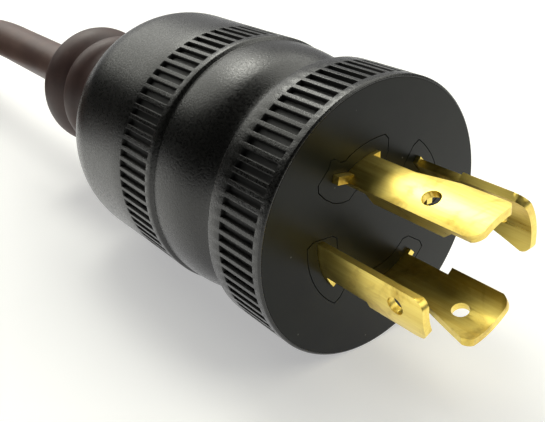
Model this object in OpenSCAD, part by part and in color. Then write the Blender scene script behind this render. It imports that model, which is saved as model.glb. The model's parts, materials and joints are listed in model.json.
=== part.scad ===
// Four-blade locking power plug, moulded onto a round flexible cord.
// The plug lies on its side. +X points out of the mating face, +Z is up, and the
// origin is the centre of the mating face. All sizes are in millimetres.

/* [Body] */
// Diameter over the mating face and both ribbed bands
face_d = 55; // [50:0.5:60]
// Length of the black moulding behind the mating face
body_len = 79.5; // [79.5:0.1:84]
// Number of ribs round each band
rib_count = 76; // [60:2:90]
// Height of a rib above the floor of its band
rib_h = 0.95; // [0.5:0.05:1.2]
// Share of each rib's pitch that is rib and not groove
rib_share = 0.42; // [0.3:0.02:0.6]

/* [Blades] */
// Diameter of the circle through the middle of the blades' thickness
blade_circle_d = 27.5; // [26:0.5:29]
// Thickness of the blades
blade_t = 1.5; // [1.2:0.1:1.8]
// Length of the two hot blades and the neutral blade from the face
blade_len = 23.8; // [22:0.1:25]
// Length of the ground blade from the face
ground_len = 28.1; // [26:0.1:29]
// Angle of the first hot blade, from +Y towards +Z
blade_turn = 26.5; // [20:0.5:45]
// Diameter of the hole in each blade
blade_hole_d = 3.3; // [2.5:0.1:4]

/* [Cord] */
// Diameter of the cord
cord_d = 12.2; // [11.6:0.1:12.2]
// Diameter of each insulated conductor
wire_d = 3.9; // [3.5:0.1:3.9]
// Diameter of the bare stranded copper
strand_d = 2.2; // [1.8:0.1:2.4]
// Diameter through the middle of the coil's turns
coil_d = 118; // [112:1:124]

/* [Hidden] */

// Small numbers shared by several pieces.
eps = 0.05;
seam = 0.12;
face_r = face_d / 2;
arc_steps = 8;

// Body profile, as distances behind the face and radii.
lip_w = 0.55;
edge_soft = 0.35;
band_a = [1.85, 11.35];
band_b = [36.6, 46.75];
flange_end = 14.4;
shoulder_x = 63.3;
shoulder_r = 16.5;
shoulder_end = 15.2;
cavity_r = 20;
cavity_end = 66;
collar_r = 13;
sleeve_r = 9;
collar = [72, 76];

// Front disc that holds the blades. Its thin flange ends ahead of the first band's grooves.
flange_t = 1.2;
spigot_r = 23;
spigot_end = 12;

// Where each blade sits, and the four circuits in the order round the face.
blade_r = blade_circle_d / 2;
turns = [blade_turn + 90, blade_turn, blade_turn - 90, blade_turn + 180];
tail_w = 5;
tail_end = 13;
barrel = [12, 22];
barrel_r = 2.9;
bore_start = 14.5;
strand_r = strand_d / 2;
crimp_bore_r = strand_r + eps;

// Conductors inside the plug: out along the crimps, in to the cord, and along it.
wire_r = wire_d / 2;
wire_start = 24;
wire_bend_a = 28;
wire_bend_b = 58;
wire_end = 80;
lay_r = 3;

// Ringed strain relief and the stretch of cord that it grips.
cord_r = cord_d / 2;
relief_start = 70;
relief_end = 117.5;
root_start = 62;

// Free cord: the points are the middle of the cord, and the first is at the relief's end.
// The coil has two columns of turns, an outer one of two layers and an inner one of three,
// lifted a little by the strap that passes under it. The run comes down to the outer
// column's upper layer, and the far end leaves the inner column's top layer outwards.
rest_z = -face_r;
tie_t = 1;
tie_w = 14;
tie_turn = 125;
coil_x = -249;
coil_mid = coil_d / 2;
coil_inner = coil_mid - cord_d;
coil_outer = coil_mid + cord_d;
coil_y = -(coil_outer - cord_r);
corner_cut = 2.4;
run_points = [[-117.5, 0, 0], [-126, 0, 0], [-136, 0, 0], [-146, 0, 0], [-156, 0, 0],
    [-166, 0, 0], [-174, 0, 0], [-182, 0, -0.3], [-191, 0, -1.2], [-200, 0, -2.7],
    [-209, 0, -4.5], [-218, 0, -6.2], [-227, 0, -7.5], [-235, 0, -8.1], [-242, 0, -8.2],
    [coil_x, 0, -8.2]];
end_turn = 263;
end_start = [-301.5, -58.7, 4];
end_points = [for (i = [0:4]) end_start + 10 * i * [cos(end_turn), sin(end_turn), 0]];
sides = 12;

// The jacket is stripped back from the tails, which fan out clear of the coil.
tail_len = 27;
tail_z = 1;
bare_len = 10;
tail_fan = [265, 301, 283, 247];

// A profile of [distance behind the face, radius] points, turned round the plug's axis.
module turned(points, facets = 96)
    rotate([0, -90, 0]) rotate_extrude($fn = facets) polygon([for (p = points) [p[1], p[0]]]);

// A disc from x0 to x1 behind the face.
module disc(r, x0, x1, facets = 96)
    translate([-x1, 0, 0]) rotate([0, 90, 0]) cylinder(r = r, h = x1 - x0, $fn = facets);

// Points along an arc in a profile.
function bow(cx, cr, r, a0, a1, n = arc_steps) =
    [for (i = [0:n]) let (a = a0 + (a1 - a0) * i / n) [cx + r * sin(a), cr + r * cos(a)]];

// A flat outline in the YZ plane, as a slab from x0 to x1 behind the face.
module slab(x0, x1)
    translate([-x1, 0, 0]) rotate([90, 0, 90]) linear_extrude(height = x1 - x0) children();

// True ring sector: exact cylinders inside and out, with radial ends.
module sector(r0, r1, a0, a1, x0, x1)
    slab(x0, x1) intersection() {
        difference() {
            circle(r = r1, $fn = 96);
            circle(r = r0, $fn = 96);
        }
        polygon([[0, 0],
            for (i = [0:4]) let (a = a0 + (a1 - a0) * i / 4) 1.5 * r1 * [cos(a), sin(a)]]);
    }

module overmould_profile() {
    neck = concat(
        [[flange_end, face_r], [15.1, face_r - 0.3], [15.6, face_r - 0.9], [16.1, face_r - 2],
            [16.8, face_r - 3.1]],
        [[17.8, face_r - 3.85], [19, face_r - 4.05], [20.4, face_r - 3.7], [22, face_r - 2.85],
            [23.8, face_r - 1.95], [25.8, face_r - 1.3], [28, face_r - 0.85], [30.6, face_r - 0.6],
            [33, face_r - 0.55], [34.4, face_r - 0.65]],
        [[34.8, face_r - 0.15], [35.1, face_r]]);
    dome = concat([[47, face_r - 0.05], [56, face_r - 0.02]],
        bow(shoulder_x, face_r - shoulder_r, shoulder_r, 0, 72, 12));
    polygon([for (p = concat(
        [[0, face_r - lip_w], [0, face_r - edge_soft], [edge_soft, face_r]],
        [[band_a[0], face_r], [band_a[0], face_r - rib_h], [band_a[1], face_r - rib_h]],
        [[band_a[1], face_r]], neck,
        [[band_b[0], face_r], [band_b[0], face_r - rib_h], [band_b[1], face_r - rib_h]],
        [[band_b[1], face_r - 0.1]], dome,
        [[body_len, shoulder_end], [body_len, sleeve_r]],
        [[collar[1], sleeve_r], [collar[1], collar_r], [collar[0], collar_r]],
        [[collar[0], sleeve_r], [relief_start, sleeve_r], [relief_start, cord_r]],
        [[cavity_end, cord_r], [cavity_end, cavity_r]],
        [[spigot_end, cavity_r], [spigot_end, spigot_r], [flange_t, spigot_r]],
        [[flange_t, face_r - lip_w]]))
        [p[1], p[0]]]);
}

// Ribs of one band: a toothed ring whose root is buried in the moulding.
module rib_ring(band) {
    root = face_r - rib_h - 0.4;
    tip = face_r - eps;
    pitch = 360 / rib_count;
    side = pitch * rib_share / 2;
    slab(band[0] - 0.2, band[1] + 0.2) difference() {
        polygon([for (i = [0:rib_count - 1])
            for (q = [[root, -side], [tip, -side * 0.86], [tip, side * 0.86], [root, side]])
                let (a = i * pitch + q[1]) [q[0] * cos(a), q[0] * sin(a)]]);
        circle(r = root - 1.2, $fn = 96);
    }
}

module body_overmould() {
    color([0.11, 0.115, 0.11]) union() {
        rotate([0, -90, 0]) rotate_extrude($fn = 96) overmould_profile();
        rib_ring(band_a);
        rib_ring(band_b);
    }
}

// Outlines of the inserts, as [radius, angle] points about each blade's own angle.
insert_in = 10;
insert_out = 16.9;
hot_outline = concat([for (a = [-26:6:28]) [insert_out, a]],
    [[15.4, 30.5], [11.2, 30.5], [insert_in, 25]], [for (a = [20:-8:-20]) [insert_in, a]],
    [[insert_in, -25], [11.2, -29.5], [15.4, -29.5]]);
ground_outline = concat([for (a = [-28:6:2]) [insert_out, a]],
    [[16.7, 5], [17.4, 8.6], [18.9, 9.8], [19.4, 12.5], [18.7, 16.5], [18.6, 22], [18.7, 26]],
    [[17.8, 29.3], [15.6, 31], [13.2, 31.2], [11.4, 28]],
    [for (a = [22:-8:-18]) [insert_in, a]], [[10.6, -29], [13.6, -33], [16, -31.5]]);

// An insert's outline, g larger all round, in the YZ plane.
function grown(outline, g) = [for (p = outline)
    let (r = p[0] + (p[0] > 13.5 ? g : -g), a = p[1] + (abs(p[1]) > 24 ? sign(p[1]) * 4 * g : 0))
        [r * cos(a), r * sin(a)]];

module face_insulator() {
    color([0.13, 0.14, 0.13]) difference() {
        union() {
            disc(face_r - lip_w - 0.02, 0, flange_t);
            disc(spigot_r - 0.02, flange_t - 1, spigot_end);
        }
        for (i = [0:3])
            rotate([turns[i], 0, 0]) slab(-1, spigot_end + 1)
                polygon(grown(i == 0 ? ground_outline : hot_outline, seam));
    }
}

// Angles of the blades about their own angle, in the order of turns. The foot lies in the face,
// the shank runs to the locking notch, and from there the blade is as wide as its edges say.
foot_ends = [[-21.5, 14.5], [-27, 21], [-27, 21], [-27, 14]];
shanks = [[-14.7, 14.5], [-15, 16.5], [-15, 16.5], [-27, 2]];
wide_edge = [14.5, 23, 23, 8.5];
// The plain edge of each blade, as points of its height above the face and its angle.
widening = [[10.2, -15.3], [24.8, -33.9]];
plain_edges = [[[10.8, -15], [18.4, -22.3], [29.1, -23.9]], widening, widening, [[10.2, -27]]];
holes = [[16.9, 0], [17.4, -6], [17.4, -6], [18, -12.8]];
tip_angles = [-23.6, -30.4, -30.4, -27];
foot_h = 0.8;
// The wide part starts this far below the first point of its edge, so that no faces touch there.
widen_early = 0.25;
notch_top = 10.7;
tail_half = asin(tail_w / 2 / blade_r);
r_in = blade_r - blade_t / 2;
r_out = blade_r + blade_t / 2;

// Rounds one corner of a blade's tip: a radial cutter at angle a, on the side of its sign.
// The round meets the end at a slight angle, so no sliver is left where they would touch.
module tip_corner(len, a, radius, side) {
    inset = radius / blade_r * 180 / PI;
    rotate([a - side * inset, 0, 0]) translate([len - radius + eps, 0, 0]) difference() {
        translate([0, r_in - 3, side > 0 ? 0 : -2 * radius]) cube([radius + 1, 7, 2 * radius]);
        rotate([-90, 0, 0]) cylinder(r = radius, h = 60, $fn = 48);
    }
}

// The part of a blade that is inside the plug: a narrow tail and a crimp barrel.
module blade_tail() {
    sector(r_in, r_out, -tail_half, tail_half, -eps, tail_end);
    translate([0, blade_r, 0]) disc(barrel_r, barrel[0], barrel[1], 48);
}

module blade_bore() {
    translate([0, blade_r, 0]) disc(crimp_bore_r, bore_start, barrel[1] + 1, 48);
}

module blade_hole(x, a)
    rotate([a, 0, 0]) translate([x, 0, 0]) rotate([-90, 0, 0])
        cylinder(d = blade_hole_d, h = 2 * blade_r, $fn = 48);

// Cuts a blade's plain edge along a line of points: the cut is square to the blade's surface.
module edge_cut(line) {
    a = line[0][1];
    deep = 9;
    rotate([a, 0, 0]) translate([0, r_in - 2, 0]) rotate([-90, 0, 0]) linear_extrude(height = 6)
        polygon(concat([for (p = line) [p[0], -blade_r * sin(p[1] - a)]],
            [[line[len(line) - 1][0], deep], [line[0][0] - 0.5, deep], [line[0][0] - 0.5, 0]]));
}

// The flat part of a blade that stands out of the face, with its foot and its inner tail.
module blade_body(i, length) {
    line = plain_edges[i];
    low = len(line) > 1 ? -36 : line[0][1];
    difference() {
        union() {
            sector(r_in, r_out, foot_ends[i][0], foot_ends[i][1], -foot_h, 1);
            sector(r_in, r_out, shanks[i][0], shanks[i][1], -line[0][0] - 1, 0);
            sector(r_in, r_out, low, shanks[i][1], -length, widen_early - line[0][0]);
            sector(r_in, r_out, low, wide_edge[i], -length, -notch_top);
            blade_tail();
        }
        if (len(line) > 1) edge_cut(line);
    }
}

module hot_blade(i)
    rotate([turns[i], 0, 0]) difference() {
        blade_body(i, blade_len);
        blade_bore();
        blade_hole(holes[i][0], holes[i][1]);
        tip_corner(blade_len, wide_edge[i], 2.6, 1);
        tip_corner(blade_len, tip_angles[i], 2, -1);
    }

// Ground blade: longer, with a bent foot at the face and a flange folded in along one edge.
flange_x = [4.7, 23];
flange_slope = 3;
flange_depth = 3.4;
foot_len = 4.1;
foot_at = wide_edge[0] - 3;

module ground_blade() {
    rotate([turns[0], 0, 0]) difference() {
        union() {
            blade_body(0, ground_len);
            // Foot, bent out at half a right angle to the blade.
            rotate([foot_at, 0, 0]) translate([-1, blade_r, -blade_t / 2])
                rotate([45, 0, 0]) translate([0, -0.3, -blade_t / 2])
                    cube([1 + 1.4, foot_len, blade_t]);
            // Flange, folded in towards the plug's axis, with a sloping front end.
            rotate([wide_edge[0], 0, 0]) translate([0, 0, -blade_t]) linear_extrude(height = blade_t)
                polygon([[flange_x[0], r_in - flange_depth], [flange_x[1] - flange_slope, r_in - flange_depth],
                    [flange_x[1], r_in], [flange_x[1], blade_r], [flange_x[0], blade_r]]);
        }
        blade_bore();
        blade_hole(holes[0][0], holes[0][1]);
        tip_corner(ground_len, wide_edge[0], 2.5, 1);
        tip_corner(ground_len, tip_angles[0], 1.5, -1);
    }
}

module blade_ground() color([0.83, 0.68, 0.28]) ground_blade();
module blade_hot_x() color([0.83, 0.68, 0.28]) hot_blade(1);
module blade_neutral() color([0.83, 0.68, 0.28]) hot_blade(2);
module blade_hot_y() color([0.83, 0.68, 0.28]) hot_blade(3);

// Insert round a blade: it fills its pocket to a hairline and leaves the blade's slot.
module insert(outline, edges) {
    difference() {
        slab(0, spigot_end) polygon(grown(outline, 0));
        sector(r_in - eps, r_out + eps, edges[0] - 0.3, edges[1] + 0.3, -1, 1.5);
        sector(r_in - eps, r_out + eps, -tail_half - 0.3, tail_half + 0.3, 1, spigot_end + 1);
        children();
    }
}

module hot_insert(i)
    color([0.13, 0.14, 0.13]) rotate([turns[i], 0, 0]) insert(hot_outline, foot_ends[i]);

module insert_ground()
    color([0.13, 0.14, 0.13]) rotate([turns[0], 0, 0])
        insert(ground_outline, foot_ends[0])
            rotate([foot_at, 0, 0]) translate([-1.5, blade_r, -blade_t / 2])
                rotate([45, 0, 0]) translate([0, -0.4, -blade_t / 2 - eps])
                    cube([3, foot_len + 0.2, blade_t + 2 * eps]);

module insert_hot_x() hot_insert(1);
module insert_neutral() hot_insert(2);
module insert_hot_y() hot_insert(3);

// One conductor's way through the plug, at the angle of its blade.
module wire_way(r) {
    bends = [[-wire_bend_a, blade_r], [-wire_bend_b, lay_r]];
    along = bends[1] - bends[0];
    lean = atan2(along[1], along[0]);
    translate([0, blade_r, 0]) disc(r, wire_start, wire_bend_a, 32);
    translate([bends[0][0], bends[0][1], 0]) rotate([0, 0, lean]) rotate([0, 90, 0])
        cylinder(r = r, h = norm(along), $fn = 32);
    translate([0, lay_r, 0]) disc(r, wire_bend_b, wire_end, 32);
    for (b = bends)
        translate([b[0], b[1], 0]) sphere(r = r + 0.12, $fn = 32);
}

module conductor(turn, tint)
    color(tint) rotate([turn, 0, 0]) difference() {
        wire_way(wire_r);
        translate([0, blade_r, 0]) disc(strand_r + eps, wire_start - 1, wire_start + 2, 32);
    }

module conductor_ground() conductor(turns[0], [0.1, 0.45, 0.2]);
module conductor_hot_x() conductor(turns[1], [0.08, 0.08, 0.08]);
module conductor_neutral() conductor(turns[2], [0.9, 0.9, 0.88]);
module conductor_hot_y() conductor(turns[3], [0.7, 0.1, 0.08]);

// Bare stranded copper from the crimp barrel into the end of the conductor.
module strands(turn)
    color([0.8, 0.45, 0.25]) rotate([turn, 0, 0]) translate([0, blade_r, 0])
        disc(strand_r, bore_start + 0.3, wire_start + 1.9, 32);

module strands_ground() strands(turns[0]);
module strands_hot_x() strands(turns[1]);
module strands_neutral() strands(turns[2]);
module strands_hot_y() strands(turns[3]);

// First moulding round the crimps and conductors, under the black one.
module inner_mould() {
    color([0.55, 0.55, 0.52]) difference() {
        disc(cavity_r - 0.02, spigot_end + 0.02, cavity_end - 0.02);
        disc(cord_r + 0.02, root_start - 0.02, cavity_end + 1);
        for (t = turns)
            rotate([t, 0, 0]) {
                translate([0, blade_r, 0]) disc(barrel_r + eps, spigot_end - 1, barrel[1] + eps, 48);
                sector(r_in - eps, r_out + eps, -tail_half - 0.3, tail_half + 0.3,
                    spigot_end - 1, tail_end + 0.2);
                translate([0, blade_r, 0]) disc(strand_r + eps, barrel[1] - 1, wire_start + 1, 32);
                wire_way(wire_r + eps);
            }
    }
}

// Jacket of the cord where the strain relief grips it, with the conductors' ways in its end.
module cord_root() {
    color([0.25, 0.19, 0.19]) difference() {
        disc(cord_r, root_start, relief_end, 64);
        for (t = turns)
            rotate([t, 0, 0]) translate([0, lay_r, 0])
                disc(wire_r + 0.02, root_start - 1, wire_end + 0.05, 32);
    }
}

// Ringed strain relief: three rounded rings, the last one the largest, and a buried collar.
module strain_relief() {
    rings = concat([[body_len + 0.02, 14], [84.6, 13.6]], bow(89.2, 11.4, 3.8, -55, 60, 6),
        bow(98, 11.7, 4.1, -52, 56, 6), bow(108.4, 10.4, 6, -58, 72, 9),
        [[115.9, 10.3], [117, 9], [relief_end, 7.4]]);
    fit = 0.02;
    color([0.27, 0.2, 0.2]) turned(concat(
        [[relief_start + fit, cord_r + fit], [relief_start + fit, sleeve_r - fit]],
        [[collar[0] + fit, sleeve_r - fit], [collar[0] + fit, collar_r - fit]],
        [[collar[1] - fit, collar_r - fit], [collar[1] - fit, sleeve_r - fit]],
        [[body_len + fit, sleeve_r - fit]], rings, [[relief_end, cord_r + fit]]));
}

// A round tube swept along points: each ring stands square to the path, level side first.
function path_dir(path, i) = let (d = path[min(i + 1, len(path) - 1)] - path[max(i - 1, 0)]) d / norm(d);
function ring_at(path, i, r) = let (
    d = path_dir(path, i), s = cross([0, 0, 1], d) / norm(cross([0, 0, 1], d)), u = cross(d, s))
    [for (k = [0:sides - 1]) path[i] + r * (cos(360 * k / sides) * s + sin(360 * k / sides) * u)];

module tube(path, r) {
    last = len(path) - 1;
    polyhedron(points = [for (i = [0:last]) each ring_at(path, i, r)], faces = concat(
        [[for (k = [0:sides - 1]) k], [for (k = [sides - 1:-1:0]) last * sides + k]],
        [for (i = [0:last - 1], k = [0:sides - 1]) let (a = i * sides + k, b = i * sides + (k + 1) % sides)
            [b, a, a + sides, b + sides]]));
}

module cord_run() color([0.25, 0.19, 0.19]) tube(run_points, cord_r);

// Outline of the coil in its radius and height, g larger all round, with its corners cut.
module coil_section(g) {
    k = g * tan(22.5);
    c = corner_cut;
    polygon([[coil_inner + c - k, -g], [coil_outer - c + k, -g], [coil_outer + g, c - k],
        [coil_outer + g, 2 * cord_d - c + k], [coil_mid - c + k, 3 * cord_d + g],
        [coil_inner + c - k, 3 * cord_d + g], [coil_inner - g, 3 * cord_d - c + k],
        [coil_inner - g, c - k]]);
}

module coil_ring(g)
    translate([coil_x, coil_y, rest_z + tie_t]) rotate_extrude($fn = 96) coil_section(g);

// A straight channel, open at its top, that a piece of the cord lies in from a point on.
module channel(from, turn)
    translate(from) rotate([0, 0, turn]) translate([0, -cord_r - 0.1, -cord_r - 0.02])
        cube([2 * coil_mid, 2 * cord_r + 0.2, 3 * cord_d]);

module cord_coil() {
    color([0.25, 0.19, 0.19]) difference() {
        coil_ring(0);
        channel(run_points[len(run_points) - 1], 0);
        channel(end_points[0], end_turn);
    }
}

// Strap round the coil.
module coil_tie() {
    color([0.12, 0.12, 0.13]) intersection() {
        difference() {
            coil_ring(tie_t);
            coil_ring(0.01);
        }
        translate([coil_x, coil_y, rest_z - 1]) rotate([0, 0, tie_turn])
            translate([0, -tie_w / 2, 0]) cube([2 * coil_outer, tie_w, 4 * cord_d]);
    }
}

// Tails: each leaves the jacket's end square to it and fans out, level at its tip.
function heading(a) = [cos(a), sin(a), 0];
function bezier(p, t) = pow(1 - t, 3) * p[0] + 3 * t * pow(1 - t, 2) * p[1]
    + 3 * t * t * (1 - t) * p[2] + pow(t, 3) * p[3];
jacket_end = end_points[len(end_points) - 1];
jacket_side = heading(end_turn + 90);

function tail_tip(i) = let (p = jacket_end + tail_len * heading(tail_fan[i])) [p[0], p[1], tail_z];
function tail_path(i) = let (
    start = jacket_end + lay_r * (cos(turns[i]) * jacket_side + sin(turns[i]) * [0, 0, 1]),
    tip = tail_tip(i), out = heading(end_turn), away = heading(tail_fan[i]),
    ends = [start + 2 * out, start + 11 * out, tip - 10 * away, tip - 2 * away])
    concat([start], [for (k = [0:8]) bezier(ends, k / 8)], [tip]);

module cord_end() color([0.25, 0.19, 0.19]) tube(end_points, cord_r);

module tail(i, tint) color(tint) tube(tail_path(i), wire_r);

module bare_end(i)
    color([0.8, 0.45, 0.25]) translate(tail_tip(i)) rotate([0, 0, tail_fan[i]]) rotate([0, 90, 0])
        cylinder(r = strand_r, h = bare_len, $fn = 32);

module tail_ground() tail(0, [0.1, 0.45, 0.2]);
module tail_hot_x() tail(1, [0.08, 0.08, 0.08]);
module tail_neutral() tail(2, [0.9, 0.9, 0.88]);
module tail_hot_y() tail(3, [0.7, 0.1, 0.08]);
module bare_end_ground() bare_end(0);
module bare_end_hot_x() bare_end(1);
module bare_end_neutral() bare_end(2);
module bare_end_hot_y() bare_end(3);

body_overmould();
face_insulator();
insert_ground();
insert_hot_x();
insert_neutral();
insert_hot_y();
blade_ground();
blade_hot_x();
blade_neutral();
blade_hot_y();
inner_mould();
conductor_ground();
conductor_hot_x();
conductor_neutral();
conductor_hot_y();
strands_ground();
strands_hot_x();
strands_neutral();
strands_hot_y();
strain_relief();
cord_root();
cord_run();
cord_coil();
coil_tie();
cord_end();
tail_ground();
tail_hot_x();
tail_neutral();
tail_hot_y();
bare_end_ground();
bare_end_hot_x();
bare_end_neutral();
bare_end_hot_y();
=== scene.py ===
# Locking power plug on its round cord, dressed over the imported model.
# Lengths in the dictionaries are millimetres, and metres in the studio's.
import json
import math

import bpy
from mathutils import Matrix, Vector

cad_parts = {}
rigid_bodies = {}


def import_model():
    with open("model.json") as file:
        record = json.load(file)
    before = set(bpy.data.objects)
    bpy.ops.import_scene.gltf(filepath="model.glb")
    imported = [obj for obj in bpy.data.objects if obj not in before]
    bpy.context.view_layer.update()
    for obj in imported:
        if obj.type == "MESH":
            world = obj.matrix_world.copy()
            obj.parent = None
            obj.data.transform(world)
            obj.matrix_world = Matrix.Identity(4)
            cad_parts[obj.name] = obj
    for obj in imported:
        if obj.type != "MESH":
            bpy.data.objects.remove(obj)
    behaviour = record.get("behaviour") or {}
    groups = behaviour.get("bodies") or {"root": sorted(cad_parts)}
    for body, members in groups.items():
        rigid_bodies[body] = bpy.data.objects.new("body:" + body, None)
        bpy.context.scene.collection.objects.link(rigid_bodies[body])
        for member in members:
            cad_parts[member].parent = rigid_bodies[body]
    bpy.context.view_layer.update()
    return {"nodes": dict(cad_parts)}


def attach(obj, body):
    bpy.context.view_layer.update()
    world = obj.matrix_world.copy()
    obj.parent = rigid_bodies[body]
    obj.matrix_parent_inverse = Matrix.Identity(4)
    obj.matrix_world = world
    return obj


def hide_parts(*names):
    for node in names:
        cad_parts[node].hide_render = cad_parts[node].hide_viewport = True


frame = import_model()
print("frame loaded,", len(frame["nodes"]), "nodes")


def metres(point):
    return Vector([0.001 * value for value in point])


def linear(hexColour):
    parts = [int(hexColour[i : i + 2], 16) / 255 for i in (1, 3, 5)]
    return tuple(p / 12.92 if p <= 0.04045 else ((p + 0.055) / 1.055) ** 2.4 for p in parts) + (1.0,)


def blend(value, start, end):
    # 0 before the start, 1 after the end, and smooth between them
    t = min(max((value - start) / (end - start), 0), 1)
    return t * t * (3 - 2 * t)


# camera

shot = {
    "place": (83.7, -92.3, 62.6),
    "looks": (-0.698, 0.564, -0.4414),
    "roll": 0.38,  # degrees
    "lens": 49.54,
    "sensor": 36,
}

bpy.ops.object.camera_add(location=metres(shot["place"]))
camera = bpy.context.object
camera.name = "camera"
camera.rotation_euler = Vector(shot["looks"]).to_track_quat("-Z", "Y").to_euler()
camera.rotation_euler.rotate_axis("Z", math.radians(shot["roll"]))
camera.data.lens = shot["lens"]
camera.data.sensor_width = shot["sensor"]
camera.data.clip_start = 0.005
bpy.context.scene.camera = camera
print("camera placed")

# shared modelling steps


def startClean():
    # object mode with nothing selected, so that an operator acts on the new piece alone
    if bpy.context.object and bpy.context.object.mode != "OBJECT":
        bpy.ops.object.mode_set(mode="OBJECT")
    bpy.ops.object.select_all(action="DESELECT")


def onlyThis(piece):
    startClean()
    piece.select_set(True)
    bpy.context.view_layer.objects.active = piece


def pickFaces(piece, wanted):
    # selects, in edit mode, the faces that the test wants
    bpy.ops.object.mode_set(mode="OBJECT")
    mesh = piece.data
    for group in (mesh.vertices, mesh.edges, mesh.polygons):
        group.foreach_set("select", [False] * len(group))
    for face in mesh.polygons:
        face.select = wanted(face)
    bpy.ops.object.mode_set(mode="EDIT")
    bpy.ops.mesh.select_mode(type="FACE")


def modify(piece, kind, **settings):
    onlyThis(piece)
    step = piece.modifiers.new(kind.lower(), kind)
    for key, value in settings.items():
        setattr(step, key, value)
    bpy.ops.object.modifier_apply(modifier=step.name)


def settle(piece):
    # place, turn and size go into the mesh
    onlyThis(piece)
    bpy.ops.object.transform_apply(location=True, rotation=True, scale=True)


def smooth(piece, degrees):
    onlyThis(piece)
    bpy.ops.object.shade_smooth_by_angle(angle=math.radians(degrees))


def finishPiece(piece, name, material, node):
    # None leaves a piece the materials that it has
    piece.name = name
    if material is not None:
        piece.data.materials.clear()
        piece.data.materials.append(material)
    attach(piece, "root")
    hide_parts(node)


def turned(stations, rounds):
    # a ring drawn out along the plug's axis from station to station: (distance behind the face, radius)
    startClean()
    depth, radius = stations[0]
    start, square = metres((-depth, 0, 0)), (0, math.pi / 2, 0)
    bpy.ops.mesh.primitive_circle_add(vertices=rounds, radius=0.001 * radius, location=start, rotation=square)
    piece = bpy.context.object
    bpy.ops.object.transform_apply(location=True, rotation=True)
    bpy.ops.object.mode_set(mode="EDIT")
    bpy.ops.mesh.select_all(action="SELECT")
    for nextDepth, nextRadius in stations[1:]:
        bpy.ops.mesh.extrude_edges_move(TRANSFORM_OT_translate={"value": (0.001 * (depth - nextDepth), 0, 0)})
        if abs(nextRadius - radius) > 1e-9:
            grow = nextRadius / radius
            bpy.ops.transform.resize(value=(1, grow, grow), center_override=(0, 0, 0))
        depth, radius = nextDepth, nextRadius
    bpy.ops.mesh.select_all(action="SELECT")
    bpy.ops.mesh.remove_doubles(threshold=0.000005)
    bpy.ops.mesh.normals_make_consistent(inside=False)
    bpy.ops.object.mode_set(mode="OBJECT")
    return piece


def eased(points, per):
    # more points between the given ones, on a smooth curve through them
    out = []
    for i in range(len(points) - 1):
        p0, p1, p2, p3 = (points[min(max(i + k, 0), len(points) - 1)] for k in (-1, 0, 1, 2))
        for step in range(per):
            t = step / per
            out.append(tuple(
                0.5 * (2 * b + (c - a) * t + (2 * a - 5 * b + 4 * c - d) * t * t + (3 * b - a - 3 * c + d) * t**3)
                for a, b, c, d in zip(p0, p1, p2, p3)
            ))
    return out + [points[-1]]


def bow(mid, height, radius, first, last, steps):
    # stations along a round, from the first angle to the last, with its middle at that depth and height
    turns = [math.radians(first + (last - first) * i / steps) for i in range(steps + 1)]
    return [(mid + radius * math.sin(t), height + radius * math.cos(t)) for t in turns]


# the cord: straight out of the strain relief, down to the table, and put away in a coil

cordShape = {
    "radius": 6.1,
    "lowest": -20.4,  # height of the middle of the coil's lowest layer
    "run": [
        (-117.5, 0, 0), (-126, 0, 0), (-136, 0, 0), (-146, 0, 0), (-156, 0, 0), (-166, 0, 0),
        (-174, 0, 0), (-182, 0, -0.3), (-191, 0, -1.2), (-200, 0, -2.7), (-209, 0, -4.5),
        (-218, 0, -6.2), (-227, 0, -7.5), (-235, 0, -8.1), (-242, 0, -8.2), (-249, 0, -8.2),
    ],
    "coilMid": (-249, -65.1),
    "outerTurn": 65.1,
    "turnGap": 12.2,
    "coilStarts": 90,  # this and the next five are degrees round the coil, seen from above
    "coilStep": 15,
    "drops": (320, 416),
    "goesIn": (560, 680),
    "climbs": ((890, 985), (1235, 1330)),
    "coilEnds": 1605,
    "endFrom": (-301.5, -58.7, 4),
    "endTurn": 263,
    "endSteps": (0, 10, 20, 30, 40),
}


def headed(turn):
    # the level direction that many degrees round from +x
    return Vector((math.cos(math.radians(turn)), math.sin(math.radians(turn)), 0))


def cordRoute(shape):
    points = list(shape["run"])
    midX, midY = shape["coilMid"]
    step = shape["coilStep"]
    for angle in range(shape["coilStarts"] + step, shape["coilEnds"] + 1, step):
        layer = 1 - blend(angle, *shape["drops"]) + sum(blend(angle, *climb) for climb in shape["climbs"])
        radius = shape["outerTurn"] - shape["turnGap"] * blend(angle, *shape["goesIn"])
        turn = math.radians(angle)
        height = shape["lowest"] + shape["turnGap"] * layer
        points.append((midX + radius * math.cos(turn), midY + radius * math.sin(turn), height))
    points += [Vector(shape["endFrom"]) + past * headed(shape["endTurn"]) for past in shape["endSteps"]]
    return [metres(p) for p in points]


def tubeAlong(name, points, radius, sides=6, fine=6):
    # a round tube on one smooth open curve through the points
    curve = bpy.data.curves.new(name, "CURVE")
    curve.dimensions = "3D"
    curve.bevel_depth = radius
    curve.bevel_resolution = sides
    curve.use_fill_caps = True
    curve.resolution_u = fine
    spline = curve.splines.new("BEZIER")
    spline.bezier_points.add(len(points) - 1)
    for knot, point in zip(spline.bezier_points, points):
        knot.co = point
        knot.handle_left_type = knot.handle_right_type = "AUTO"
    tube = bpy.data.objects.new(name, curve)
    bpy.context.collection.objects.link(tube)
    return tube


def middleLine(tube):
    # the points that the tube's middle runs through
    bare = tube.data.copy()
    bare.bevel_depth = 0
    probe = bpy.data.objects.new("probe", bare)
    bpy.context.collection.objects.link(probe)
    spots = [v.co.copy() for v in probe.to_mesh().vertices]
    bpy.data.objects.remove(probe)
    return spots


def meshOf(tube):
    onlyThis(tube)
    bpy.ops.object.convert(target="MESH")
    smooth(bpy.context.object, 50)
    return bpy.context.object


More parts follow.
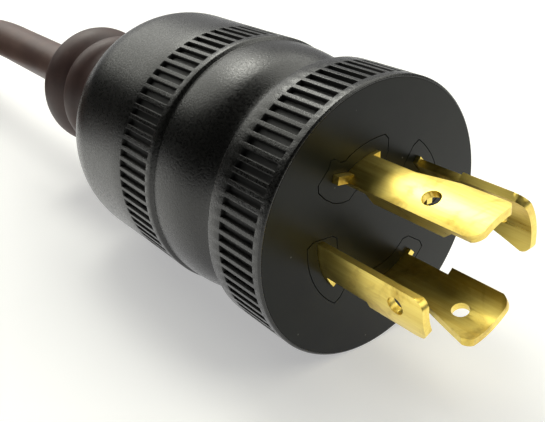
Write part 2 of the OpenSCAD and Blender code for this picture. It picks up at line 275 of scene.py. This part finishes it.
cordTube = tubeAlong("cord", cordRoute(cordShape), 0.001 * cordShape["radius"], sides=10)
cordPath = middleLine(cordTube)
cord = meshOf(cordTube)
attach(cord, "root")
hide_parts("cord_run", "cord_coil", "cord_end")

# materials


def addNode(tree, kind, values=None, links=None, stops=None, **settings):
    # one node with its settings, socket values, links and colour stops
    node = tree.nodes.new(kind)
    for key, value in settings.items():
        setattr(node, key, value)
    for key, value in (values or {}).items():
        node.inputs[key].default_value = value
    for key, source in (links or {}).items():
        tree.links.new(source, node.inputs[key])
    if stops:
        for element, (position, colour) in zip(node.color_ramp.elements, stops):
            element.position, element.color = position, colour
    return node


def newMaterial(name, sockets):
    # a Principled material with the constants set on its own sockets, and object coordinates to draw patterns on
    material = bpy.data.materials.new(name)
    material.use_nodes = True
    tree = material.node_tree
    shader = tree.nodes["Principled BSDF"]
    for key, value in sockets.items():
        shader.inputs[key].default_value = value
    place = addNode(tree, "ShaderNodeTexCoord").outputs["Object"]
    return material, tree, shader, place


def dress(tree, shader, colour=None, rough=None, bump=None):
    # links the finish's own nodes to the shader
    for source, socket in ((colour, "Base Color"), (rough, "Roughness"), (bump, "Normal")):
        if source is not None:
            tree.links.new(source, shader.inputs[socket])


def sparkErodedPvc():
    # black flexible PVC, moulded in a spark-eroded tool: a fine grain that glitters where the light falls, with the
    # pale patches that handling leaves; the grain is drawn coarser than the real one so that it shows
    material, tree, shader, place = newMaterial("blackPvcSparkEroded", {"IOR": 1.53})
    grit = {"Scale": 2300, "Detail": 2, "Roughness": 0.75}  # 0.4 mm
    grain = addNode(tree, "ShaderNodeTexNoise", grit, {"Vector": place}).outputs["Fac"]
    handling = {"Scale": 70, "Detail": 4, "Roughness": 0.6}  # 15 mm
    patch = addNode(tree, "ShaderNodeTexNoise", handling, {"Vector": place}).outputs["Fac"]
    base = addNode(tree, "ShaderNodeValToRGB", links={"Fac": grain},
                   stops=[(0.36, linear("#050504")), (0.66, linear("#12120f"))])
    worn = addNode(tree, "ShaderNodeValToRGB", links={"Fac": patch},
                   stops=[(0.35, linear("#000000")), (0.75, linear("#3a3a3a"))])
    colour = addNode(tree, "ShaderNodeMix", {"Factor": 0.05},
                     {"A": base.outputs["Color"], "B": worn.outputs["Color"]},
                     data_type="RGBA", blend_type="SCREEN")
    rough = addNode(tree, "ShaderNodeMapRange",
                    {"From Min": 0.3, "From Max": 0.7, "To Min": 0.2, "To Max": 0.38}, {"Value": grain})
    bump = addNode(tree, "ShaderNodeBump", {"Strength": 0.5, "Distance": 0.00011}, {"Height": grain})
    dress(tree, shader, colour.outputs["Result"], rough.outputs["Result"], bump.outputs["Normal"])
    return material


def polishedGroovePvc():
    # the same PVC in the grooves, where the tool was only polished: nearly black, with flow lines along the pull
    material, tree, shader, place = newMaterial("blackPvcPolishedGroove", {"IOR": 1.5})
    along = addNode(tree, "ShaderNodeMapping", {"Scale": (60, 900, 900)}, {"Vector": place})  # lines 1 mm apart
    flow = addNode(tree, "ShaderNodeTexNoise", {"Scale": 1, "Detail": 2},
                   {"Vector": along.outputs["Vector"]}).outputs["Fac"]
    colour = addNode(tree, "ShaderNodeValToRGB", links={"Fac": flow},
                     stops=[(0.3, linear("#0c0c0b")), (0.75, linear("#1a1a18"))])
    rough = addNode(tree, "ShaderNodeMapRange", {"To Min": 0.45, "To Max": 0.6}, {"Value": flow})
    dress(tree, shader, colour.outputs["Color"], rough.outputs["Result"])
    return material


def mouldedNylon(name, dark, light):
    # glass-filled nylon, moulded smooth: satin, very slightly uneven, with a few specks of dust on it; the unevenness
    # is drawn coarser than the real one so that it shows
    material, tree, shader, place = newMaterial(name, {"IOR": 1.53, "Specular IOR Level": 0.16})
    fill = {"Scale": 110, "Detail": 3, "Distortion": 0.4}  # 9 mm
    flow = addNode(tree, "ShaderNodeTexNoise", fill, {"Vector": place}).outputs["Fac"]
    fine = addNode(tree, "ShaderNodeTexNoise", {"Scale": 2600, "Detail": 2}, {"Vector": place})  # 0.4 mm
    dust = addNode(tree, "ShaderNodeTexVoronoi", {"Scale": 230}, {"Vector": place})  # a speck in every 4 mm or so
    base = addNode(tree, "ShaderNodeValToRGB", links={"Fac": flow},
                   stops=[(0.3, linear(dark)), (0.75, linear(light))])
    speck = addNode(tree, "ShaderNodeValToRGB", links={"Fac": dust.outputs["Distance"]},
                    stops=[(0.025, linear("#8d8f86")), (0.05, linear("#000000"))])
    colour = addNode(tree, "ShaderNodeMix", {"Factor": 0.5},
                     {"A": base.outputs["Color"], "B": speck.outputs["Color"]},
                     data_type="RGBA", blend_type="SCREEN")
    rough = addNode(tree, "ShaderNodeMapRange", {"To Min": 0.24, "To Max": 0.36}, {"Value": flow})
    bump = addNode(tree, "ShaderNodeBump", {"Strength": 0.12, "Distance": 0.00005}, {"Height": fine.outputs["Fac"]})
    dress(tree, shader, colour.outputs["Result"], rough.outputs["Result"], bump.outputs["Normal"])
    return material


def stampedBrass():
    # half-hard brass strip, stamped: bright yellow, with fine rolling lines along the blade and patches of tan
    # tarnish; the lines are drawn farther apart than the real ones so that they show
    material, tree, shader, place = newMaterial("brassStamped", {"Metallic": 1.0})
    lines = addNode(tree, "ShaderNodeMapping", {"Scale": (70, 1500, 1500)}, {"Vector": place})  # 0.7 mm apart
    rolled = addNode(tree, "ShaderNodeTexNoise", {"Scale": 1, "Detail": 3, "Roughness": 0.6},
                     {"Vector": lines.outputs["Vector"]}).outputs["Fac"]
    patches = {"Scale": 140, "Detail": 5, "Roughness": 0.62, "Distortion": 0.8}  # 7 mm
    stain = addNode(tree, "ShaderNodeTexNoise", patches, {"Vector": place}).outputs["Fac"]
    spots = addNode(tree, "ShaderNodeTexNoise", {"Scale": 900, "Detail": 2}, {"Vector": place})  # 1 mm
    clean = addNode(tree, "ShaderNodeValToRGB", links={"Fac": rolled},
                    stops=[(0.3, linear("#e0c45e")), (0.7, linear("#f1dc7a"))])
    tan = addNode(tree, "ShaderNodeValToRGB", links={"Fac": spots.outputs["Fac"]},
                  stops=[(0.35, linear("#9a7a30")), (0.7, linear("#ccaa4c"))])
    mask = addNode(tree, "ShaderNodeValToRGB", links={"Fac": stain},
                   stops=[(0.5, (0, 0, 0, 1)), (0.72, (0.85, 0.85, 0.85, 1))])
    colour = addNode(tree, "ShaderNodeMix", {}, {
        "Factor": mask.outputs["Color"], "A": clean.outputs["Color"], "B": tan.outputs["Color"],
    }, data_type="RGBA")
    both = addNode(tree, "ShaderNodeMath", {}, {0: rolled, 1: stain}, operation="ADD")
    rough = addNode(tree, "ShaderNodeMapRange",
                    {"From Min": 0.5, "From Max": 1.5, "To Min": 0.22, "To Max": 0.48},
                    {"Value": both.outputs["Value"]})
    bump = addNode(tree, "ShaderNodeBump", {"Strength": 0.15, "Distance": 0.00003}, {"Height": rolled})
    dress(tree, shader, colour.outputs["Result"], rough.outputs["Result"], bump.outputs["Normal"])
    return material


def softPvc(name, dark, light, low, high, mottleSize):
    # extruded or moulded soft PVC: smooth, slightly waxy, with a faint mottle of the size given
    material, tree, shader, place = newMaterial(name, {"IOR": 1.53})
    cloud = {"Scale": 1000 / mottleSize, "Detail": 4, "Roughness": 0.55}
    mottle = addNode(tree, "ShaderNodeTexNoise", cloud, {"Vector": place}).outputs["Fac"]
    fine = addNode(tree, "ShaderNodeTexNoise", {"Scale": 1800, "Detail": 2}, {"Vector": place})  # 0.6 mm
    colour = addNode(tree, "ShaderNodeValToRGB", links={"Fac": mottle},
                     stops=[(0.3, linear(dark)), (0.72, linear(light))])
    rough = addNode(tree, "ShaderNodeMapRange", {"To Min": low, "To Max": high}, {"Value": mottle})
    bump = addNode(tree, "ShaderNodeBump", {"Strength": 0.15, "Distance": 0.00006}, {"Height": fine.outputs["Fac"]})
    dress(tree, shader, colour.outputs["Color"], rough.outputs["Result"], bump.outputs["Normal"])
    return material


def drawnCopper():
    # bunched annealed copper wire: pink-orange, bright along each wire, browner where it has been in the air
    material, tree, shader, place = newMaterial("copperBunched", {"Metallic": 1.0})
    tarnish = addNode(tree, "ShaderNodeTexNoise", {"Scale": 420, "Detail": 3}, {"Vector": place})  # 2.4 mm
    colour = addNode(tree, "ShaderNodeValToRGB", links={"Fac": tarnish.outputs["Fac"]},
                     stops=[(0.35, linear("#a5603a")), (0.7, linear("#e8a07a"))])
    rough = addNode(tree, "ShaderNodeMapRange", {"To Min": 0.28, "To Max": 0.48}, {"Value": tarnish.outputs["Fac"]})
    dress(tree, shader, colour.outputs["Color"], rough.outputs["Result"])
    return material


def wovenStrap():
    # woven nylon hook-and-loop strap, drawn with a 1.2 mm weave, coarser than the real one so that it shows
    material, tree, shader, place = newMaterial("nylonWovenStrap", {"IOR": 1.53, "Roughness": 0.8})
    thread = {"Scale": 260, "Distortion": 0.5, "Detail": 1}
    warp = addNode(tree, "ShaderNodeTexWave", thread, {"Vector": place}, bands_direction="X")
    weft = addNode(tree, "ShaderNodeTexWave", thread, {"Vector": place}, bands_direction="Z")
    weave = addNode(tree, "ShaderNodeMath", {}, {0: warp.outputs["Fac"], 1: weft.outputs["Fac"]},
                    operation="MULTIPLY").outputs["Value"]
    colour = addNode(tree, "ShaderNodeValToRGB", links={"Fac": weave},
                     stops=[(0.0, linear("#151618")), (1.0, linear("#33353a"))])
    bump = addNode(tree, "ShaderNodeBump", {"Strength": 0.6, "Distance": 0.0003}, {"Height": weave})
    dress(tree, shader, colour.outputs["Color"], bump=bump.outputs["Normal"])
    return material


erodedPvc = sparkErodedPvc()
groovePvc = polishedGroovePvc()
faceNylon = mouldedNylon("blackNylonFace", "#10120f", "#1b1e19")
insertNylon = mouldedNylon("blackNylonInsert", "#131511", "#1d201b")
brass = stampedBrass()
reliefPvc = softPvc("brownPvcRelief", "#3d2b29", "#523d39", 0.44, 0.58, 6)
jacketPvc = softPvc("brownPvcJacket", "#56423d", "#6e5750", 0.38, 0.5, 9)
innerPvc = softPvc("greyPvcInner", "#6c6c66", "#8a8a82", 0.5, 0.65, 4)
wireGreen = softPvc("greenPvcWire", "#1c6e38", "#2b8a4a", 0.3, 0.42, 4)
wireBlack = softPvc("blackPvcWire", "#141414", "#242424", 0.3, 0.42, 4)
wireWhite = softPvc("whitePvcWire", "#d6d5cc", "#ebeae2", 0.3, 0.42, 4)
wireRed = softPvc("redPvcWire", "#8e1c16", "#ad2b22", 0.3, 0.42, 4)
copper = drawnCopper()
strapNylon = wovenStrap()
print("materials made")

cord.data.materials.append(jacketPvc)

# black moulding with its two bands of ribs

moulding = {
    "faceRadius": 27.5,
    "ribs": 76,
    "partsPerRib": 8,  # of which three are rib and five are groove
    "ribParts": 3,
    "ribHeight": 0.95,
    "wallLean": 0.04,
    "edgeRound": 0.09,
    "frontBand": (1.85, 11.35),
    "rearBand": (36.6, 46.75),
    "rearRadii": (27.5, 27.4),
    "bandFrom": 27,  # a face farther out than this is the band's own
    "grooveFrom": 0.15,  # below the grooves' floor
    "grooveTo": 0.3,  # below the ribs' tops
    "sharp": 32,  # degrees
    "smooth": 38,  # degrees
    # stations are (distance behind the face, radius)
    "rim": [(0, 26.95), (0, 27.2), (0.3, 27.5)],
    "waist": [
        (14.4, 27.5), (15.1, 27.2), (15.6, 26.6), (16.1, 25.5), (16.8, 24.4),
        (17.8, 23.65), (19, 23.45), (20.4, 23.8), (22, 24.65), (23.8, 25.55),
        (25.8, 26.2), (28, 26.65), (30.6, 26.9), (33, 26.95), (34.4, 26.85),
    ],
    "rearLip": [(34.8, 27.35), (35.1, 27.5)],
    "dome": [(47, 27.45), (51.5, 27.46), (56, 27.48), (60, 27.49)],
    "shoulder": {"mid": 63.3, "height": 11, "radius": 16.5, "to": 72, "steps": 24},
    "inside": [
        (79.5, 15.2), (79.5, 9), (76, 9), (76, 13), (72, 13), (72, 9), (70, 9), (70, 6.1), (66, 6.1),
        (66, 20), (12, 20), (12, 23), (1.2, 23), (1.2, 26.95),
    ],
}


def onBand(shape, face):
    depth = -1000 * face.center.x
    return any(front < depth < rear for front, rear in (shape["frontBand"], shape["rearBand"]))


def fromAxis(face):
    return 1000 * math.hypot(face.center.y, face.center.z)


def makeMoulding(shape):
    shoulder = shape["shoulder"]
    stations = shape["rim"] + [(depth, shape["faceRadius"]) for depth in shape["frontBand"]]
    stations += eased(shape["waist"], 3) + shape["rearLip"]
    stations += list(zip(shape["rearBand"], shape["rearRadii"])) + shape["dome"]
    stations += bow(shoulder["mid"], shoulder["height"], shoulder["radius"], 0, shoulder["to"], shoulder["steps"])
    stations += shape["inside"] + [shape["rim"][0]]
    rounds = shape["ribs"] * shape["partsPerRib"]
    piece = turned(stations, rounds)
    step = 2 * math.pi / rounds
    pitch = 2 * math.pi / shape["ribs"]
    ribHalf = shape["ribParts"] * step / 2

    def offRib(face):
        if not onBand(shape, face) or fromAxis(face) < shape["bandFrom"]:
            return False
        turn = (math.atan2(face.center.z, face.center.y) + pitch / 2) % pitch - pitch / 2
        return abs(turn) > ribHalf

    # turned by half a face, so that a face and not an edge is at the middle of each rib
    piece.rotation_euler = (step / 2, 0, 0)
    settle(piece)
    # the grooves are sunk between the ribs, and get the polished finish
    pickFaces(piece, offRib)
    bpy.ops.mesh.inset(thickness=0.001 * shape["wallLean"], depth=-0.001 * shape["ribHeight"], use_even_offset=True)
    bpy.ops.object.mode_set(mode="OBJECT")
    piece.data.materials.append(erodedPvc)
    piece.data.materials.append(groovePvc)
    grooveLow = shape["faceRadius"] - shape["ribHeight"] - shape["grooveFrom"]
    grooveHigh = shape["faceRadius"] - shape["grooveTo"]
    for face in piece.data.polygons:
        face.material_index = 1 if onBand(shape, face) and grooveLow < fromAxis(face) < grooveHigh else 0
    modify(piece, "BEVEL", width=0.001 * shape["edgeRound"], segments=2,
           limit_method="ANGLE", angle_limit=math.radians(shape["sharp"]))
    smooth(piece, shape["smooth"])
    finishPiece(piece, "moulding", None, "body_overmould")
    return piece


moulded = makeMoulding(moulding)
print("moulding done,", len(moulded.data.polygons), "faces")

# strain relief: three rounded rings

relief = {
    "bore": 6.12,
    "sleeve": [(70, 8.98), (72.02, 8.98), (72.02, 12.98), (75.98, 12.98), (75.98, 8.98), (79.52, 8.98)],
    "start": [(79.52, 14), (84.6, 13.6)],
    # each ring's middle, height, radius, first angle and last angle
    "rings": [(89.2, 11.4, 3.8, -55, 60), (98, 11.7, 4.1, -52, 56), (108.4, 10.4, 6, -58, 72)],
    "ringSteps": 14,
    "end": [(115.9, 10.3), (116.6, 9.7), (117.1, 8.9), (117.5, 7.2), (117.5, 6.12)],
    "rounds": 144,
    "edgeRound": 0.35,
    "sharp": 35,  # degrees
    "smooth": 50,  # degrees
}


def makeRelief(shape):
    inner = (shape["sleeve"][0][0], shape["bore"])
    stations = [inner] + shape["sleeve"] + shape["start"]
    for ring in shape["rings"]:
        stations += bow(*ring, shape["ringSteps"])
    piece = turned(stations + shape["end"] + [inner], shape["rounds"])
    modify(piece, "BEVEL", width=0.001 * shape["edgeRound"], segments=3,
           limit_method="ANGLE", angle_limit=math.radians(shape["sharp"]))
    smooth(piece, shape["smooth"])
    finishPiece(piece, "strainRelief", reliefPvc, "strain_relief")


makeRelief(relief)
print("strain relief done")

# face disc, inserts and blades: copies of the fixed solids with their edges broken

brokenEdge = {"flat": 0.5, "sharp": 28, "smooth": 32}  # degrees

# node, name, material, slot, width of the round, steps round it
fineParts = [
    ("face_insulator", "faceDisc", faceNylon, "face_nylon", 0.07, 2),
    ("insert_ground", "insertGround", insertNylon, "face_nylon", 0.08, 2),
    ("insert_hot_x", "insertHotX", insertNylon, "face_nylon", 0.08, 2),
    ("insert_neutral", "insertNeutral", insertNylon, "face_nylon", 0.08, 2),
    ("insert_hot_y", "insertHotY", insertNylon, "face_nylon", 0.08, 2),
    ("blade_ground", "bladeGround", brass, "brass", 0.16, 3),
    ("blade_hot_x", "bladeHotX", brass, "brass", 0.16, 3),
    ("blade_neutral", "bladeNeutral", brass, "brass", 0.16, 3),
    ("blade_hot_y", "bladeHotY", brass, "brass", 0.16, 3),
]


def breakEdges(node, name, material, slotName, width, steps):
    onlyThis(frame["nodes"][node])
    bpy.ops.object.duplicate(linked=False)
    piece = bpy.context.object
    # the copy starts without the node's own marks
    for key in list(piece.keys()):
        del piece[key]
    bpy.ops.object.parent_clear(type="CLEAR_KEEP_TRANSFORM")
    settle(piece)
    bpy.ops.object.mode_set(mode="EDIT")
    bpy.ops.mesh.select_all(action="SELECT")
    bpy.ops.mesh.remove_doubles(threshold=0.000002)
    bpy.ops.mesh.customdata_custom_splitnormals_clear()
    bpy.ops.mesh.dissolve_limited(angle_limit=math.radians(brokenEdge["flat"]))
    bpy.ops.object.mode_set(mode="OBJECT")
    modify(piece, "BEVEL", width=0.001 * width, segments=steps,
           limit_method="ANGLE", angle_limit=math.radians(brokenEdge["sharp"]))
    smooth(piece, brokenEdge["smooth"])
    modify(piece, "WEIGHTED_NORMAL", keep_sharp=True)
    finishPiece(piece, name, material, node)


for row in fineParts:
    breakEdges(*row)
print("face and blades done")

# what is on the cord's far end: strap, tails and bare copper

farEnd = {
    "jacketEnd": (-306.375, -98.402, 4),
    "heading": cordShape["endTurn"],
    "fan": {"ground": 265, "hotX": 301, "neutral": 283, "hotY": 247},  # where each wire points, in degrees
    "seat": {"ground": 116.5, "hotX": 26.5, "neutral": -63.5, "hotY": 206.5},  # its place round the jacket's end
    "layRadius": 3,
    "root": (-1.5, 0.5),  # the straight start, from inside the jacket
    "bend": (2, 11, 10, 2),  # start and pull past the jacket's end, then pull and end before the tip
    "bendSteps": 8,
    "tipHeight": 1,
    "tail": 27,
    "bare": 10,
    "bareInside": 0.6,
    "bareSteps": 6,
    "wireRadius": 1.95,
    "copperRadius": 1.1,
    "copperRings": ((0, 1), (1, 6), (2, 12)),  # ring and how many fine wires lie in it
    "copperFill": 0.98,  # how much of its room a fine wire takes
    "twist": 7,  # degrees in every millimetre
}

# name, insulation, slot, and what its nodes' names end with
wires = [
    ("ground", wireGreen, "wire_green", "ground"),
    ("hotX", wireBlack, "wire_black", "hot_x"),
    ("neutral", wireWhite, "wire_white", "neutral"),
    ("hotY", wireRed, "wire_red", "hot_y"),
]
up = Vector((0, 0, 1))


def makeTail(shape, wire, material, node):
    out, away = headed(shape["heading"]), headed(shape["fan"][wire])
    side = headed(shape["heading"] + 90)
    seat = math.radians(shape["seat"][wire])
    jacketEnd = Vector(shape["jacketEnd"])
    start = jacketEnd + shape["layRadius"] * (math.cos(seat) * side + math.sin(seat) * up)
    tip = jacketEnd + shape["tail"] * away
    tip.z = shape["tipHeight"]
    leaves, leavePull, comePull, comes = shape["bend"]
    a, b, c, d = start + leaves * out, start + leavePull * out, tip - comePull * away, tip - comes * away
    line = [start + past * out for past in shape["root"]]
    for i in range(shape["bendSteps"] + 1):
        t = i / shape["bendSteps"]
        line.append((1 - t) ** 3 * a + 3 * t * (1 - t) ** 2 * b + 3 * t * t * (1 - t) * c + t**3 * d)
    line.append(tip)
    tail = meshOf(tubeAlong(wire + "Tail", [0.001 * p for p in line], 0.001 * shape["wireRadius"], sides=8, fine=3))
    finishPiece(tail, wire + "Tail", material, node)
    return tail, tip, away


def makeBareEnd(shape, wire, tip, away, node):
    # nineteen fine wires laid together with a slight twist
    fineRadius = shape["copperRadius"] / 5
    inside, steps = shape["bareInside"], shape["bareSteps"]
    across = away.cross(up)
    thickness = 0.001 * shape["copperFill"] * fineRadius
    strands = []
    for ring, count in shape["copperRings"]:
        for i in range(count):
            line = []
            for step in range(steps + 1):
                along = -inside + (shape["bare"] + inside) * step / steps
                turn = math.radians(360 * i / count + shape["twist"] * along)
                off = 2 * ring * fineRadius * (math.cos(turn) * across + math.sin(turn) * up)
                line.append(0.001 * (tip + along * away + off))
            strands.append(meshOf(tubeAlong("strand", line, thickness, sides=2, fine=2)))
    startClean()
    for strand in strands:
        strand.select_set(True)
    bpy.context.view_layer.objects.active = strands[0]
    bpy.ops.object.join()
    bundle = bpy.context.object
    finishPiece(bundle, wire + "Copper", copper, node)
    return bundle


onCord = []
for wire, material, slotName, ending in wires:
    tail, tip, away = makeTail(farEnd, wire, material, "tail_" + ending)
    onCord += [tail, makeBareEnd(farEnd, wire, tip, away, "bare_end_" + ending)]
print("tails done")

strap = {
    "turn": 125,  # degrees round the coil
    "width": 14,
    "thick": 1,
    "inner": 46.8,  # this and the next two are distances from the coil's middle
    "outer": 71.2,
    "middle": 59,
    "under": -26.5,
    "layer": 12.2,
    "cut": 2.4,  # the strap runs straight over the step between two layers
    "corner": 5.2,
    "edgeRound": 0.3,
    "tongue": {"shorter": 4, "narrower": 1, "inward": 1, "lift": 1.45, "thin": 0.9, "edgeRound": 0.4},
}


def makeStrap(shape, coilMid):
    high = shape["under"] + 3 * shape["layer"]
    low = shape["under"] + 2 * shape["layer"]
    cut = shape["cut"]
    startClean()
    bpy.ops.mesh.primitive_plane_add(size=0.001, location=(0, 0, 0))
    piece = bpy.context.object
    bpy.ops.object.mode_set(mode="EDIT")
    bpy.ops.mesh.select_mode(type="VERT")
    bpy.ops.mesh.select_all(action="SELECT")
    bpy.ops.mesh.merge(type="CENTER")
    bpy.ops.transform.translate(value=metres((shape["inner"], 0, shape["under"])))
    # the loop's corners, drawn one after another
    corners = [
        (shape["inner"], shape["under"]), (shape["outer"], shape["under"]), (shape["outer"], low - cut),
        (shape["middle"] - cut, high), (shape["inner"], high),
    ]
    for (x0, z0), (x1, z1) in zip(corners, corners[1:]):
        bpy.ops.mesh.extrude_vertices_move(TRANSFORM_OT_translate={"value": metres((x1 - x0, 0, z1 - z0))})
    bpy.ops.mesh.select_all(action="SELECT")
    bpy.ops.mesh.edge_face_add()
    bpy.ops.mesh.bevel(offset=0.001 * shape["corner"], segments=6, affect="VERTICES")
    bpy.ops.mesh.select_all(action="SELECT")
    bpy.ops.mesh.delete(type="ONLY_FACE")
    bpy.ops.mesh.select_all(action="SELECT")
    bpy.ops.transform.translate(value=(0, -0.0005 * shape["width"], 0))
    bpy.ops.mesh.extrude_edges_move(TRANSFORM_OT_translate={"value": (0, 0.001 * shape["width"], 0)})
    bpy.ops.mesh.select_all(action="SELECT")
    bpy.ops.mesh.normals_make_consistent(inside=False)
    bpy.ops.object.mode_set(mode="OBJECT")
    modify(piece, "SOLIDIFY", thickness=0.001 * shape["thick"], offset=1)
    modify(piece, "BEVEL", width=0.001 * shape["edgeRound"], segments=2,
           limit_method="ANGLE", angle_limit=math.radians(50))
    # the tongue, lapped over the loop on top
    lap = shape["tongue"]
    across = 0.5 * (shape["inner"] + shape["middle"]) - lap["inward"]
    long, wide = shape["middle"] - shape["inner"] - lap["shorter"], shape["width"] - lap["narrower"]
    startClean()
    bpy.ops.mesh.primitive_cube_add(size=1, location=metres((across, 0, high + lap["lift"] * shape["thick"])))
    tongue = bpy.context.object
    tongue.scale = metres((long, wide, lap["thin"] * shape["thick"]))
    settle(tongue)
    modify(tongue, "BEVEL", width=0.001 * lap["edgeRound"], segments=3)
    startClean()
    tongue.select_set(True)
    piece.select_set(True)
    bpy.context.view_layer.objects.active = piece
    bpy.ops.object.join()
    piece.rotation_euler = (0, 0, math.radians(shape["turn"]))
    piece.location = metres((*coilMid, 0))
    settle(piece)
    smooth(piece, 35)
    finishPiece(piece, "coilStrap", strapNylon, "coil_tie")
    return piece


onCord.append(makeStrap(strap, cordShape["coilMid"]))
print("strap done")

# the fixed solids that stay: hidden inside the plug

stays = {"inner_mould": innerPvc, "cord_root": jacketPvc}
for wire, material, slotName, ending in wires:
    stays["conductor_" + ending] = material
    stays["strands_" + ending] = copper
for node, material in stays.items():
    for place in frame["nodes"][node].material_slots:
        place.material = material
print("inner solids coloured")

# floor, lamps and world

studio = {
    "floorHeight": -0.0275,
    "floorSize": 24,
    "floorColours": ("#d9d9d6", "#e2e2df"),
    "skyColour": "#ffffff",
    "floorGlow": {"near": 0.42, "far": 1.0, "reach": (0.35, 1.3), "reflected": 0.7},
    "skyLevel": 0.03,
    "backdrop": {"toward": 135, "away": 6, "wide": 12, "high": 6.5, "reflected": 0.5},
    "lampColour": "#fffff6",
    "key": {"from": (182, 46), "away": 0.9, "size": 0.9, "watts": 3.7},
    "spot": {"from": (168, 58), "away": 0.62, "size": 0.22, "watts": 1.0},
    "top": {"from": (104, 58), "away": 0.9, "size": 0.8, "watts": 3.6},
    "side": {"from": (40, 42), "away": 1.0, "size": 0.8, "watts": 3.6},
    "aim": (-0.035, 0, 0),
}


def makeFloor(shape):
    startClean()
    bpy.ops.mesh.primitive_plane_add(size=shape["floorSize"], location=(0, 0, shape["floorHeight"]))
    floor = bpy.context.object
    floor.name = "floor"
    # uncoated paper: matt and even, with a faint 1 mm tooth
    material, tree, shader, place = newMaterial("matteWhitePaper", {"Roughness": 0.9, "Specular IOR Level": 0.1})
    tone = addNode(tree, "ShaderNodeTexNoise", {"Scale": 900, "Detail": 2}, {"Vector": place})
    dark, light = (linear(colour) for colour in shape["floorColours"])
    colour = addNode(tree, "ShaderNodeValToRGB", links={"Fac": tone.outputs["Fac"]}, stops=[(0, dark), (1, light)])
    dress(tree, shader, colour.outputs["Color"])
    path = addNode(tree, "ShaderNodeLightPath").outputs
    glow = shape["floorGlow"]
    # the lamps light only the middle of the paper, so it glows more farther out
    out = addNode(tree, "ShaderNodeVectorMath", {}, {0: place}, operation="LENGTH")
    inner, outer = glow["reach"]
    spread = {"From Min": inner, "From Max": outer, "To Min": glow["near"], "To Max": glow["far"]}
    level = addNode(tree, "ShaderNodeMapRange", spread, {"Value": out.outputs["Value"]})
    seen = addNode(tree, "ShaderNodeMath", {}, {0: path["Is Camera Ray"], 1: level.outputs["Result"]},
                   operation="MULTIPLY")
    mirrored = addNode(tree, "ShaderNodeMath", {1: glow["reflected"]}, {0: path["Is Glossy Ray"]},
                       operation="MULTIPLY")
    total = addNode(tree, "ShaderNodeMath", {}, {0: seen.outputs["Value"], 1: mirrored.outputs["Value"]},
                    operation="ADD")
    shine = addNode(tree, "ShaderNodeEmission", {"Color": (1, 1, 1, 1)}, {"Strength": total.outputs["Value"]})
    both = addNode(tree, "ShaderNodeAddShader", {}, {0: shader.outputs["BSDF"], 1: shine.outputs["Emission"]})
    tree.links.new(both.outputs["Shader"], tree.nodes["Material Output"].inputs["Surface"])
    floor.data.materials.append(material)


def makeBackdrop(shape, floorHeight):
    # white card far behind the plug: it shows in reflections and behind the floor, and gives no light of its own
    turn = math.radians(shape["toward"])
    startClean()
    middle = (shape["away"] * math.cos(turn), shape["away"] * math.sin(turn), floorHeight + shape["high"] / 2)
    bpy.ops.mesh.primitive_plane_add(size=1, location=middle, rotation=(math.pi / 2, 0, turn - math.pi / 2))
    card = bpy.context.object
    card.name = "backdrop"
    card.scale = (shape["wide"], shape["high"], 1)
    material = bpy.data.materials.new("whiteCard")
    material.use_nodes = True
    tree = material.node_tree
    path = addNode(tree, "ShaderNodeLightPath").outputs
    direct = addNode(tree, "ShaderNodeMath", {}, {0: path["Is Camera Ray"], 1: path["Is Transmission Ray"]},
                     operation="MAXIMUM")
    mirrored = addNode(tree, "ShaderNodeMath", {1: shape["reflected"]}, {0: path["Is Glossy Ray"]},
                       operation="MULTIPLY")
    seen = addNode(tree, "ShaderNodeMath", {}, {0: direct.outputs["Value"], 1: mirrored.outputs["Value"]},
                   operation="MAXIMUM")
    light = addNode(tree, "ShaderNodeEmission", {"Color": (1, 1, 1, 1)}, {"Strength": seen.outputs["Value"]})
    tree.links.new(light.outputs["Emission"], tree.nodes["Material Output"].inputs["Surface"])
    card.data.materials.append(material)


def makeLamp(name, shape, aim, colour):
    # from is the lamp's turn from +x and its height over the table, in degrees
    azimuth, height = (math.radians(a) for a in shape["from"])
    way = Vector((math.cos(height) * math.cos(azimuth), math.cos(height) * math.sin(azimuth), math.sin(height)))
    bpy.ops.object.light_add(type="AREA", location=Vector(aim) + shape["away"] * way)
    lamp = bpy.context.object
    lamp.name = name
    lamp.data.shape = "DISK"
    lamp.data.size = shape["size"]
    lamp.data.energy = shape["watts"]
    lamp.data.color = linear(colour)[:3]
    lamp.rotation_euler = way.to_track_quat("Z", "Y").to_euler()


def makeWorld(shape):
    world = bpy.data.worlds.new("paleRoom")
    bpy.context.scene.world = world
    world.use_nodes = True
    tree = world.node_tree
    sky = tree.nodes["Background"]
    path = addNode(tree, "ShaderNodeLightPath").outputs
    seen = addNode(tree, "ShaderNodeMath", {}, {0: path["Is Camera Ray"], 1: path["Is Transmission Ray"]},
                   operation="MAXIMUM")
    level = addNode(tree, "ShaderNodeMapRange", {"To Min": shape["skyLevel"], "To Max": 1.0},
                    {"Value": seen.outputs["Value"]})
    sky.inputs["Color"].default_value = linear(shape["skyColour"])
    tree.links.new(level.outputs["Result"], sky.inputs["Strength"])


makeFloor(studio)
makeBackdrop(studio["backdrop"], studio["floorHeight"])
for name in ("key", "spot", "top", "side"):
    makeLamp(name + "Lamp", studio[name], studio["aim"], studio["lampColour"])
makeWorld(studio)
bpy.context.scene.view_settings.view_transform = "Standard"
print("studio done")
